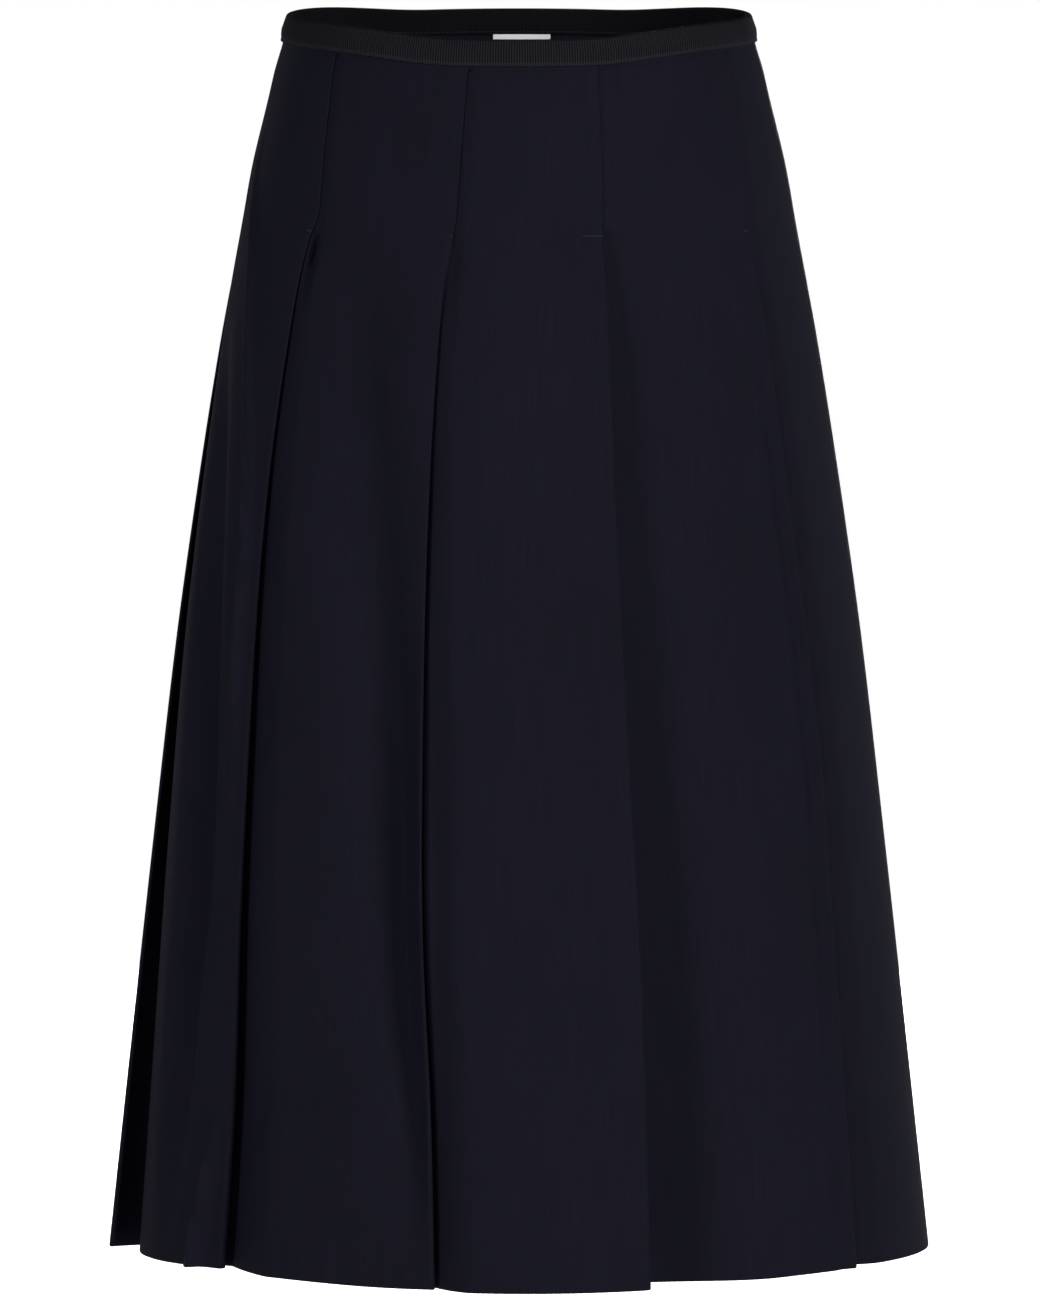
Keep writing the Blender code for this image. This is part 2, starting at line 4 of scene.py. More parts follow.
import bmesh
import bpy
import numpy as np
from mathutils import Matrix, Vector


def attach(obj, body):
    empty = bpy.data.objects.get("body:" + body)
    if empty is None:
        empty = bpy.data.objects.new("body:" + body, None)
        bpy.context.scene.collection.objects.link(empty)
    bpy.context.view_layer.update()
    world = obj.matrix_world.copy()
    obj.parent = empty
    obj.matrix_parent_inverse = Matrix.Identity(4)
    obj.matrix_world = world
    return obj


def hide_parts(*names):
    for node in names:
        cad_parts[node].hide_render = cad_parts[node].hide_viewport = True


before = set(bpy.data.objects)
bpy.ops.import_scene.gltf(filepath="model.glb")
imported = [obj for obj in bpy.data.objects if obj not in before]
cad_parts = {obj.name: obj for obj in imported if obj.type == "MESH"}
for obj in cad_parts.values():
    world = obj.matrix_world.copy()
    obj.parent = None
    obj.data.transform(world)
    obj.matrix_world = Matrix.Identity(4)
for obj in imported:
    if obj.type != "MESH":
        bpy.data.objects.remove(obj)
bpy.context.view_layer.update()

# ------------------------------------------------------------------------------------- the skirt's cloth
# Front and back are cut from one smooth, fine navy wool and joined by side seams hidden inside two of the
# ten knife pleats. Each pleat is pressed to one side, stitched shut from the band to the hip and held
# there by a bar tack; below it the pleats hang free, and the hem is turned up inside.

CLOTH_THICKNESS = 0.0006

# The skirt's oval at each height: half its width and depth, how far its diagonals are flattened, how much
# the ring leans towards the back, how far it rises at the sides, the length of cloth tucked under each
# pleat, and how far the pleats hang open (0 at the hip, 1 at the hem).
Ring = namedtuple("Ring", "z half_width half_depth flatten lean side_rise tuck open")
RINGS = (
    #    z        half_width half_depth flatten  lean    rise     tuck     open
    Ring(0.0112,  0.1331,    0.0980,    0.0000,  0.090,  0.0055,  0.0030,  0.000),
    Ring(0.0050,  0.1355,    0.0984,    0.0000,  0.090,  0.0055,  0.0030,  0.000),
    Ring(-0.0020, 0.1361,    0.0986,    0.0000,  0.090,  0.0055,  0.0040,  0.000),
    Ring(-0.0120, 0.1390,    0.1016,    0.0000,  0.088,  0.0055,  0.0070,  0.000),
    Ring(-0.0190, 0.1411,    0.1037,    0.0000,  0.084,  0.0053,  0.0090,  0.000),
    Ring(-0.0350, 0.1450,    0.1074,    0.0000,  0.074,  0.0046,  0.0110,  0.000),
    Ring(-0.0700, 0.1540,    0.1145,    0.0000,  0.045,  0.0025,  0.0180,  0.000),
    Ring(-0.1000, 0.1597,    0.1197,    0.0007,  0.026,  0.0010,  0.0220,  0.000),
    Ring(-0.1100, 0.1616,    0.1215,    0.0010,  0.020,  0.0006,  0.0230,  0.006),
    Ring(-0.1700, 0.1729,    0.1312,    0.0030,  0.006,  0.0000,  0.0230,  0.050),
    Ring(-0.2500, 0.1857,    0.1410,    0.0050,  0.000,  0.0000,  0.0215,  0.140),
    Ring(-0.3400, 0.1986,    0.1495,    0.0070,  0.000,  0.0000,  0.0200,  0.260),
    Ring(-0.4500, 0.2116,    0.1590,    0.0085,  0.000,  0.0000,  0.0175,  0.460),
    Ring(-0.5600, 0.2240,    0.1680,    0.0100,  0.000,  0.0000,  0.0150,  0.700),
    Ring(-0.7000, 0.2391,    0.1780,    0.0115,  0.000,  0.0025,  0.0130,  1.000),
)
RING_HEIGHTS = [ring.z for ring in RINGS]
SIDE_START, SIDE_START_BACK = 0.25, 0.40      # share of the half width where the side rise begins
SIDE_SPAN = 0.60                # and over what share it is reached

# The pleats in turn from the wearer's right side, past the front, round the back: the angle of the fold
# edge at the PLEAT_HEIGHTS (degrees from the middle of the front); then, in millimetres at the hem, the
# inset of the fold edge, the inset of the valley under it and the width of the rolled edge; how late the
# valley opens (0.3 soon under the hip, 1 evenly down to the hem); the share of the next panel over which
# the cloth comes back out of the valley, how late that share widens and how much steeper it comes out at
# first (0 where it leaves the valley softly); how far that panel's middle stands out at the hem, in
# millimetres; and the bar tack's width, in millimetres.
PLEAT_HEIGHTS = (0.0, -0.035, -0.092, -0.110, -0.14, -0.25, -0.40, -0.50, -0.60, -0.70)
Pleat = namedtuple("Pleat", "angles edge valley roll late rise spread curve belly tack")
PLEATS = (
    #      waist  0.035  0.092  hip    0.14   thigh  knee   0.50   calf   hem
    Pleat((-97.0, -96.4, -94.8, -94.0, -91.7, -88.6, -87.5, -87.2, -87.0, -87.0),
          edge=0, valley=22, roll=3, late=1.00, rise=0.75, spread=0.45, curve=1.6, belly=0, tack=10),
    Pleat((-50.8, -49.0, -46.6, -49.0, -50.9, -53.2, -52.6, -51.9, -50.7, -50.9),
          edge=8, valley=20, roll=5, late=0.75, rise=0.30, spread=0.20, curve=1.05, belly=-1, tack=3),
    Pleat((-12.5, -12.8, -13.2, -14.0, -15.3, -16.3, -15.8, -15.0, -13.4, -12.4),
          edge=5, valley=14, roll=4, late=0.60, rise=0.20, spread=0.15, curve=1.5, belly=2, tack=2),
    Pleat((18.9, 18.3, 17.2, 16.9, 17.2, 16.9, 17.4, 18.1, 18.1, 17.8),
          edge=-2, valley=27, roll=5, late=0.38, rise=0.58, spread=0.00, curve=0, belly=0, tack=11),
    Pleat((60.0, 57.8, 54.7, 54.5, 56.1, 57.0, 58.4, 57.4, 56.3, 55.4),
          edge=-5, valley=14, roll=3, late=0.35, rise=0.20, spread=0.20, curve=1.8, belly=0, tack=3),
    Pleat((102.5, 102.3, 102.0, 102.0, 102.0, 101.5, 101.0, 100.6, 100.0, 99.0),
          edge=0, valley=13, roll=4, late=0.60, rise=0.30, spread=0.20, curve=1.6, belly=1, tack=0),
    Pleat((136.0, 135.4, 134.6, 134.4, 134.5, 135.0, 135.0, 134.6, 134.0, 133.0),
          edge=6, valley=17, roll=5, late=0.50, rise=0.35, spread=0.20, curve=1.6, belly=0, tack=9),
    Pleat((167.5, 167.3, 167.0, 167.1, 167.5, 168.0, 167.5, 167.0, 166.5, 166.0),
          edge=3, valley=14, roll=5, late=0.60, rise=0.30, spread=0.20, curve=1.6, belly=2, tack=8),
    Pleat((199.5, 199.4, 199.1, 198.8, 198.0, 197.0, 197.5, 198.0, 198.5, 199.0),
          edge=4, valley=18, roll=6, late=0.50, rise=0.40, spread=0.20, curve=1.8, belly=2, tack=11),
    Pleat((233.0, 232.7, 232.1, 231.8, 231.0, 229.5, 229.0, 229.8, 231.0, 233.0),
          edge=7, valley=17, roll=5, late=0.60, rise=0.30, spread=0.20, curve=1.6, belly=0, tack=7),
)
RIGHT_SEAM_PLEAT = 0            # on the wearer's right
ZIP_PLEAT = 5                   # on the wearer's left, whose seam the zip closes down to the hip
PLEAT_TOP = -0.0025             # where the pleats start, just under the band
ZIP_PLEAT_TOP = -0.150
UNFOLD = 0.0016                 # height in which a fold opens to a step, and a step to a groove
ZIP_UNFOLD = 0.007              # and where the zip ends
PLY = 0.0007                    # from one layer of a pressed pleat to the next
OPEN_PLY = 0.0042               # and at the hem, where it hangs loose
SHORT_TUCK = 0.003              # cloth tucked under where a pleat starts
TUCK_SLOPE = 0.6                # and how fast it grows below that
TURN_WIDTH = 0.433              # how far a hairpin turn reaches past the fold, in its own diameters
NARROW_RISE = 0.10              # least share of a panel over which it comes out of a valley
SIDE_SEAM_GAP = 0.0002
ZIP_GAP = 0.0009                # the slit that the zip closes

# Soft creases and swells: the height, the angle there and the depth in millimetres (negative
# stands out), then its reach to either side in millimetres.
Crease = namedtuple("Crease", "course lower upper")
CREASES = (
    # hollow before the second front pleat, which narrows and drifts towards the fold on its way down
    Crease(((-0.10, -37.0, 0.0), (-0.14, -34.0, 3.5), (-0.18, -31.5, 7.0), (-0.25, -28.0, 10.0),
            (-0.33, -25.0, 9.5), (-0.40, -22.0, 6.0), (-0.48, -20.0, 0.0)), 30, 20),
    Crease(((-0.27, -24.5, 0.0), (-0.33, -22.5, 3.5), (-0.40, -20.1, 8.0), (-0.47, -18.2, 12.0),
            (-0.543, -16.4, 12.5), (-0.59, -15.0, 10.5), (-0.64, -14.0, 6.5), (-0.69, -13.2, 2.0)), 32, 10),
    # its fold, which stands out
    Crease(((-0.25, -16.3, 0.0), (-0.33, -16.0, -2.0), (-0.40, -15.8, -5.0), (-0.47, -15.3, -8.0),
            (-0.543, -14.3, -9.0), (-0.60, -13.4, -7.0), (-0.66, -12.8, -3.5), (-0.70, -12.4, 0.0)), 6, 6),
    # sharp ridge and hollow of the panel at the wearer's right hip
    Crease(((-0.04, -80.0, 0.0), (-0.077, -76.8, -1.5), (-0.134, -68.0, -3.5), (-0.23, -59.5, -4.5),
            (-0.30, -57.2, -4.5), (-0.37, -56.5, -3.5), (-0.45, -56.0, -1.5), (-0.55, -56.0, 0.0)), 4, 3),
    Crease(((-0.15, -80.0, 0.0), (-0.25, -72.3, 8.0), (-0.36, -66.7, 13.0), (-0.477, -63.5, 14.0),
            (-0.534, -64.2, 13.0), (-0.59, -64.0, 9.0), (-0.65, -64.0, 3.0), (-0.70, -64.0, 0.0)), 13, 9),
    # shallow hollow before the fourth front pleat
    Crease(((-0.14, 52.5, 0.0), (-0.22, 54.2, 2.0), (-0.40, 56.2, 3.0), (-0.50, 55.2, 2.5),
            (-0.60, 54.2, 1.5), (-0.70, 53.4, 1.5)), 7, 4),
    # short sharp fold in the panel at the right hip, down at the hem
    Crease(((-0.605, -53.0, 0.0), (-0.64, -54.0, -6.0), (-0.68, -55.5, -9.0), (-0.70, -56.0, -9.0)),
           5, 3.5),
    # pockets that open just under the bar tacks of the first two front pleats
    Crease(((-0.100, -46.2, 0.0), (-0.110, -47.5, 4.0), (-0.120, -48.2, 5.0), (-0.142, -49.4, 0.0)),
           1.5, 5),
    Crease(((-0.100, -12.6, 0.0), (-0.110, -12.9, 2.0), (-0.125, -13.6, 2.5), (-0.155, -14.8, 0.0)),
           3, 5),
)

# Heights of the cloth's rows, each with the count of rows down to the next: close together at the
# pleats' start, at the bar tacks and at the hem.
ROW_STEPS = ((0.0112, 5), (PLEAT_TOP, 6), (-0.0085, 6), (-0.026, 12), (-0.098, 12), (-0.126, 4),
             (-0.148, 6), (-0.166, 64), (-0.690, 6))
HEM_HEIGHT = -0.700
HEM_TURNING = 0.030             # the hem turned up inside
HEM_PLY = 0.0010                # from the cloth to its turning
HEM_TURN_STEPS = 4
PANEL_COLUMNS = 38
COLUMN_CROWDING = 1.25          # how much closer the columns lie where a panel comes out of a fold
LAST_GAP = 0.25                 # of a column, between a panel's last column and the fold edge
FOLD_REFINE = (2, 3, 3, 3, 5, 2, 2, 2, 3)     # columns to each stretch of a fold
RETURN_STRETCHES = 5            # of these, as far as the end of the return layer
WALL_CREASE = math.radians(60)  # sharper edges than this are shaded sharp
PANEL_GRAIN = 0.31              # how far the pattern of the threads shifts from panel to panel


def blend(low, high, share):
    return low + (high - low) * share


def ease(share):
    """0 to 1 with soft ends, held outside that range."""
    share = min(max(share, 0.0), 1.0)
    return share * share * (3.0 - 2.0 * share)


def along(heights, values, z):
    """A smooth curve through values at falling heights, read at height z."""
    if z >= heights[0]:
        return values[0]
    if z <= heights[-1]:
        return values[-1]
    low = next(k for k in range(len(heights) - 1) if z >= heights[k + 1])

    def slope(k):
        before, after = max(k - 1, 0), min(k + 1, len(heights) - 1)
        return (values[after] - values[before]) / (heights[after] - heights[before])

    span = heights[low + 1] - heights[low]
    t = (z - heights[low]) / span
    return (values[low] * (1 + 2 * t) * (1 - t) ** 2 + slope(low) * span * t * (1 - t) ** 2
            + values[low + 1] * t * t * (3 - 2 * t) + slope(low + 1) * span * t * t * (t - 1))


def ring_at(z):
    return Ring(z, *(along(RING_HEIGHTS, [getattr(ring, name) for ring in RINGS], z)
                     for name in Ring._fields[1:]))


def speed(angle, ring):
    """Length across the cloth to a radian."""
    return math.hypot(ring.half_width * math.cos(angle), ring.half_depth * math.sin(angle))


def creasing(angle, ring):
    """How far the soft creases push the cloth in."""
    depth = 0.0
    for crease in CREASES:
        heights = [point[0] for point in crease.course]
        here = along(heights, [point[2] for point in crease.course], ring.z)
        centre = math.radians(along(heights, [point[1] for point in crease.course], ring.z))
        away = (angle - centre + math.pi) % (2 * math.pi) - math.pi
        reach = crease.upper if away > 0 else crease.lower
        depth += here / 1000 * math.exp(-(away * speed(angle, ring) * 1000 / reach) ** 2)
    return depth


def oval_point(angle, inset, ring):
    """The point at an angle in radians, an inset inside the ring's oval."""
    outward = Vector((ring.half_depth * math.sin(angle), -ring.half_width * math.cos(angle))).normalized()
    depth = inset + ring.flatten * math.sin(2 * angle) ** 2
    x = ring.half_width * math.sin(angle) - depth * outward.x
    y = -ring.half_depth * math.cos(angle) - depth * outward.y
    start = SIDE_START if math.cos(angle) > 0 else SIDE_START_BACK
    side = ease((abs(math.sin(angle)) - start) / SIDE_SPAN)
    return Vector((x, y, ring.z + ring.lean * y + ring.side_rise * side))


def fold_angle(number, z):
    """Angle of a pleat's fold edge; numbers past the last pleat go on round the skirt."""
    rounds, index = divmod(number, len(PLEATS))
    return math.radians(along(PLEAT_HEIGHTS, PLEATS[index].angles, z) + 360.0 * rounds)


def fold_points(number, ring):
    """A pleat's fold as points across and inwards: edge, turn, return layer, turn, hidden layer."""
    pleat = PLEATS[number % len(PLEATS)]
    zipped = number % len(PLEATS) == ZIP_PLEAT
    top, unfold = (ZIP_PLEAT_TOP, ZIP_UNFOLD) if zipped else (PLEAT_TOP, UNFOLD)
    below_top = max(top - 2 * unfold - ring.z, 0.0)
    opened = max(ring.open, 0.0)
    ply = blend(PLY, OPEN_PLY, opened)
    tuck = min(ring.tuck, SHORT_TUCK + TUCK_SLOPE * below_top)
    edge = opened * pleat.edge / 1000
    roll = blend(PLY, pleat.roll / 1000, opened)
    valley = max(blend(2 * PLY, pleat.valley / 1000, opened ** pleat.late), edge + roll + ply)
    folded = [(0.0, edge), (TURN_WIDTH * roll, edge + 0.25 * roll), (TURN_WIDTH * roll, edge + 0.75 * roll),
              (0.0, edge + roll), (-tuck, valley - ply), (-tuck - TURN_WIDTH * ply, valley - 0.75 * ply),
              (-tuck - TURN_WIDTH * ply, valley - 0.25 * ply), (-tuck, valley), (0.0, valley)]
    # just above its start the fold is a small step, and above that a stitched groove
    stepped = [(0.0, 0.0), (0.0004, 0.0002), (0.0006, 0.0004), (0.0007, 0.0007), (0.0008, 0.0012),
               (0.0009, 0.0015), (0.0011, 0.0018), (0.0016, 0.0019), (0.0034, 0.0019)]
    grooved = [(0.0, 0.0), (0.0005, 0.0001), (0.0008, 0.0003), (0.0011, 0.0004), (0.0014, 0.0004),
               (0.0017, 0.0003), (0.0020, 0.0001), (0.0024, 0.0), (0.0034, 0.0)]
    if zipped:      # its seam lies flat above
        grooved = [(0.0006 * k, 0.0) for k in (0, 1, 2, 3, 4, 5, 6, 7, 10)]
    unfolded = (ring.z - top) / unfold + 2.0
    if unfolded <= 1.0:
        first, second, share = folded, stepped, max(unfolded, 0.0)
    else:
        first, second, share = stepped, grooved, min(unfolded - 1.0, 1.0)
    return [(blend(p[0], q[0], share), blend(p[1], q[1], share)) for p, q in zip(first, second)]


def place_fold(number, ring):
    angle = fold_angle(number, ring.z)
    return [(angle + across / speed(angle, ring), inset) for across, inset in fold_points(number, ring)]


def panel_inset(number, angle, ring):
    """Inset of the panel that ends at a pleat, at an angle on it."""
    before, after = fold_angle(number - 1, ring.z), fold_angle(number, ring.z)
    share = min(max((angle - before) / (after - before), 0.0), 1.0)
    previous = PLEATS[(number - 1) % len(PLEATS)]
    opened = max(ring.open, 0.0)
    rise = max(previous.rise * opened ** previous.spread, NARROW_RISE)
    risen = min(share / rise, 1.0)
    come_out = 1.0 - (1.0 - risen) ** previous.curve if previous.curve else ease(risen)
    edge = opened * PLEATS[number % len(PLEATS)].edge / 1000 * share
    belly = opened * previous.belly / 1000 * math.sin(math.pi * share)
    return blend(fold_points(number - 1, ring)[-1][1], edge, come_out) - belly * come_out


def panel_points(number, ring):
    start = place_fold(number - 1, ring)[-1][0]
    after = fold_angle(number, ring.z)
    end = after - LAST_GAP * (after - start) / PANEL_COLUMNS
    angles = [blend(start, end, ((k + 1) / PANEL_COLUMNS) ** COLUMN_CROWDING)
              for k in range(PANEL_COLUMNS)]
    return [(angle, panel_inset(number, angle, ring)) for angle in angles]


def smooth_columns(keys, counts):
    """Centripetal curve through the key points of each row, with so many columns to each stretch."""
    keys = np.concatenate([2 * keys[:, :1] - keys[:, 1:2], keys, 2 * keys[:, -1:] - keys[:, -2:-1]], axis=1)
    columns = []
    for k, count in enumerate(counts):
        p0, p1, p2, p3 = (keys[:, k + j] for j in range(4))
        t1 = np.sqrt(np.linalg.norm(p1 - p0, axis=1, keepdims=True)) + 1e-9
        t2 = t1 + np.sqrt(np.linalg.norm(p2 - p1, axis=1, keepdims=True)) + 1e-9
        t3 = t2 + np.sqrt(np.linalg.norm(p3 - p2, axis=1, keepdims=True)) + 1e-9
        for step in range(count):
            t = t1 + (t2 - t1) * step / count
            a1 = p0 * (t1 - t) / t1 + p1 * t / t1
            a2 = p1 * (t2 - t) / (t2 - t1) + p2 * (t - t1) / (t2 - t1)
            a3 = p2 * (t3 - t) / (t3 - t2) + p3 * (t - t2) / (t3 - t2)
            b1 = a1 * (t2 - t) / t2 + a2 * t / t2
            b2 = a2 * (t3 - t) / (t3 - t1) + a3 * (t - t1) / (t3 - t1)
            columns.append(b1 * (t2 - t) / (t2 - t1) + b2 * (t - t1) / (t2 - t1))
    columns.append(keys[:, -2])
    return np.stack(columns, axis=1)


def row_heights():
    heights = []
    stops = [stop for stop, count in ROW_STEPS] + [HEM_HEIGHT]
    for (start, count), end in zip(ROW_STEPS, stops[1:]):
        heights += [blend(start, end, k / count) for k in range(count)]
    return heights + [HEM_HEIGHT]


def sheet_mesh(name, points, grain, material):
    """A sheet through a grid of points; grain has its faces' left and right places on the threads."""
    rows, columns = points.shape[:2]
    faces = [(r * columns + c, (r + 1) * columns + c, (r + 1) * columns + c + 1, r * columns + c + 1)
             for r in range(rows - 1) for c in range(columns - 1)]
    mesh = bpy.data.meshes.new(name)
    mesh.from_pydata([tuple(point) for point in points.reshape(-1, 3)], [], faces)
    layer = mesh.uv_layers.new(name="grain")
    left, right = grain
    r, c = np.divmod(np.arange(len(faces)), columns - 1)
    corners = np.stack([left[r, c], left[r + 1, c], right[r + 1, c], right[r, c]], axis=1)
    layer.data.foreach_set("uv", corners.reshape(-1).astype(np.float32))
    mesh.materials.append(material)
    mesh.shade_smooth()
    item = bpy.data.objects.new(name, mesh)
    bpy.context.scene.collection.objects.link(item)
    return item


def apply_modifiers(item):
    bpy.ops.object.select_all(action="DESELECT")
    item.select_set(True)
    bpy.context.view_layer.objects.active = item
    for modifier in list(item.modifiers):
        bpy.ops.object.modifier_apply(modifier=modifier.name)


def add_wall(item, thickness):
    wall = item.modifiers.new("wall", "SOLIDIFY")
    wall.thickness = thickness
    wall.offset = 0.0
    apply_modifiers(item)
    item.data.set_sharp_from_angle(angle=WALL_CREASE)


def cloth_grid(first, last, rings):
    """Key points of the cloth between two side seams, the columns to each stretch, and their panels."""
    keys = []
    for ring in rings:
        row = [place_fold(first, ring)[-1]]
        for number in range(first + 1, last + 1):
            row += panel_points(number, ring) + place_fold(number, ring)
        points = [oval_point(angle, inset + creasing(angle, ring), ring) for angle, inset in row]
        seams = []
        for number in (first, last):
            root, front = [oval_point(angle, inset + creasing(angle, ring), ring)
                           for angle, inset in place_fold(number, ring)[-2:]]
            zipped = number % len(PLEATS) == ZIP_PLEAT and ring.z > ZIP_PLEAT_TOP
            gap = ZIP_GAP if zipped else SIDE_SEAM_GAP
            half = gap / 2 / (front - root).length
            seams.append((root.lerp(front, 0.5 - half), root.lerp(front, 0.5 + half)))
        keys.append([seams[0][1]] + points[:-1] + [seams[1][0]])
    counts, panels = [1], [0]
    for k in range(last - first):
        counts += [1] * (PANEL_COLUMNS - 1) + list(FOLD_REFINE)
        half = sum(FOLD_REFINE[:RETURN_STRETCHES])
        panels += [k] * (PANEL_COLUMNS - 1 + half) + [k + 1] * (sum(FOLD_REFINE) - half)
    return np.array(keys), counts, panels


def lengths_along(points, axis):
    """The length to each point of a grid, down its columns (axis 0) or along its rows (axis 1)."""
    steps = np.linalg.norm(np.diff(points, axis=axis), axis=2)
    pad = [(0, 0), (0, 0)]
    pad[axis] = (1, 0)
    return np.pad(np.cumsum(steps, axis=axis), pad)


def plain_grain(across_length, down_length):
    """Places on the threads for the faces of a sheet that is one panel."""
    return (np.stack([across_length[:, :-1], down_length[:, :-1]], axis=2),
            np.stack([across_length[:, 1:], down_length[:, 1:]], axis=2))


def hem_turned(points, heights):
    """The rows of the hem, round its lower edge and up inside by the width of the turning."""
    across = np.gradient(points, axis=1)
    down = np.gradient(points, axis=0)
    inward = np.cross(down, across)
    inward /= np.linalg.norm(inward, axis=2, keepdims=True)
    centre = points[:, :, :2].mean(axis=(0, 1))
    if (inward[:, :, :2] * (centre - points[:, :, :2])).sum() < 0:
        inward = -inward
    edge, towards = points[-1], inward[-1]
    below = down[-1] / np.linalg.norm(down[-1], axis=1, keepdims=True)
    rows = [edge + towards * HEM_PLY / 2 * (1 - math.cos(turn)) + below * HEM_PLY / 2 * math.sin(turn)
            for turn in (math.pi * k / HEM_TURN_STEPS for k in range(1, HEM_TURN_STEPS))]
    rows += [points[r] + inward[r] * HEM_PLY for r in reversed(range(len(heights)))
             if heights[r] < HEM_HEIGHT + HEM_TURNING]
    return np.concatenate([points, np.array(rows)])


class Shade:
    """A shader value that can be used in plain arithmetic."""

    tree = None

    def __init__(self, socket):
        self.socket = socket

    @classmethod
    def node(cls, kind, settings=(), **links):
        """A node of one kind: its settings first, then the values or links of its sockets by name."""
        made = cls.tree.nodes.new(kind)
        for name, value in dict(settings).items():
            setattr(made, name, value)
        for name, value in links.items():
            sockets = [s for s in made.inputs if s.identifier == name or s.name == name.replace("_", " ")]
            socket = next((s for s in sockets if s.enabled), sockets[0])
            if isinstance(value, Shade):
                cls.tree.links.new(value.socket, socket)
            else:
                socket.default_value = value
        return made

    @classmethod
    def maths(cls, operation, *values):
        made = cls.tree.nodes.new("ShaderNodeMath")
        made.operation = operation
        for socket, value in zip(made.inputs, values):
            if isinstance(value, Shade):
                cls.tree.links.new(value.socket, socket)
            else:
                socket.default_value = value
        return Shade(made.outputs[0])

    def __add__(self, other): return Shade.maths("ADD", self, other)
    def __radd__(self, other): return Shade.maths("ADD", other, self)
    def __sub__(self, other): return Shade.maths("SUBTRACT", self, other)
    def __rsub__(self, other): return Shade.maths("SUBTRACT", other, self)
    def __mul__(self, other): return Shade.maths("MULTIPLY", self, other)
    def __rmul__(self, other): return Shade.maths("MULTIPLY", other, self)
    def wave(self): return Shade.maths("SINE", self)
    def clamp(self): return Shade.maths("MINIMUM", Shade.maths("MAXIMUM", self, 0.0), 1.0)

    def mixed(self, first, second):
        """The colours first and second, mixed by this value."""
        made = Shade.tree.nodes.new("ShaderNodeMix")
        made.data_type = "RGBA"
        Shade.tree.links.new(self.socket, made.inputs["Factor"])
        for identifier, value in (("A_Color", first), ("B_Color", second)):
            socket = next(s for s in made.inputs if s.identifier == identifier)
            if isinstance(value, Shade):
                Shade.tree.links.new(value.socket, socket)
            else:
                socket.default_value = (*value, 1.0)
        return Shade(next(s for s in made.outputs if s.identifier == "Result_Color"))


def new_finish(name, colour, roughness, **fixed):
    """A material with its shader's plain values; returns the material and its shader."""
    finish = bpy.data.materials.new(name)
    finish.use_nodes = True
    Shade.tree = finish.node_tree
    shader = finish.node_tree.nodes["Principled BSDF"]
    shader.inputs["Base Color"].default_value = (*colour, 1.0)
    shader.inputs["Roughness"].default_value = roughness
    for socket, value in fixed.items():
        shader.inputs[socket.replace("_", " ")].default_value = value
    return finish, shader


def feed(shader, **values):
    for socket, value in values.items():
        Shade.tree.links.new(value.socket, shader.inputs[socket.replace("_", " ")])


def grain_axes():
    """Metres across and along the threads."""
    split = Shade.node("ShaderNodeSeparateXYZ", Vector=Shade(
        Shade.node("ShaderNodeUVMap", {"uv_map": "grain"}).outputs["UV"]))
    return Shade(split.outputs["X"]), Shade(split.outputs["Y"])


def speckle(across, lengthwise, spots):
    """Noise over the cloth, 0 to 1, with so many spots to the metre each way."""
    vector = Shade(Shade.node("ShaderNodeCombineXYZ", X=across * spots[0],
                              Y=lengthwise * spots[1]).outputs["Vector"])
    return Shade(Shade.node("ShaderNodeTexNoise", {"noise_dimensions": "2D"}, Vector=vector, Scale=1.0,
                            Detail=2.0).outputs["Fac"])


def threads(length, count):
    """Waves from -1 to 1, so many to the metre."""
    return (length * (2 * math.pi * count)).wave()


def bumped(height, distance, strength):
    """The normal of a surface whose height changes by up to distance, in metres."""
    return Shade(Shade.node("ShaderNodeBump", Height=height, Distance=distance,
                            Strength=strength).outputs["Normal"])


WOOL_DARK = (0.0056, 0.0054, 0.0110)
WOOL_LIGHT = (0.0086, 0.0083, 0.0167)
WOOL_THREADS = 1900.0           # to the metre
SLUBS = (900.0, 22.0)           # spots to the metre, across and along the threads
SHADES = (14.0, 7.0)
FLUFF = (1500.0, 1500.0)
wool, shader = new_finish("navy_wool_cloth", WOOL_LIGHT, 0.65, Specular_IOR_Level=0.05, Sheen_Weight=0.0086,
                          Sheen_Roughness=0.4, Sheen_Tint=(0.7, 0.72, 1.0, 1.0))
across, lengthwise = grain_axes()
weave = threads(across, WOOL_THREADS) * threads(lengthwise, WOOL_THREADS)
slubs = speckle(across, lengthwise, SLUBS)
shades = speckle(across, lengthwise, SHADES)
fluff = speckle(across, lengthwise, FLUFF)
tone = ((slubs - 0.5) * 1.3 + (shades - 0.5) * 0.5 + (fluff - 0.5) * 0.9 + 0.5).clamp()
feed(shader, Base_Color=tone.mixed(WOOL_DARK, WOOL_LIGHT), Roughness=(slubs - 0.5) * 0.12 + 0.62,
     Normal=bumped(weave * 0.5 + fluff * 0.8 + slubs * 0.8, 0.00012, 0.8))

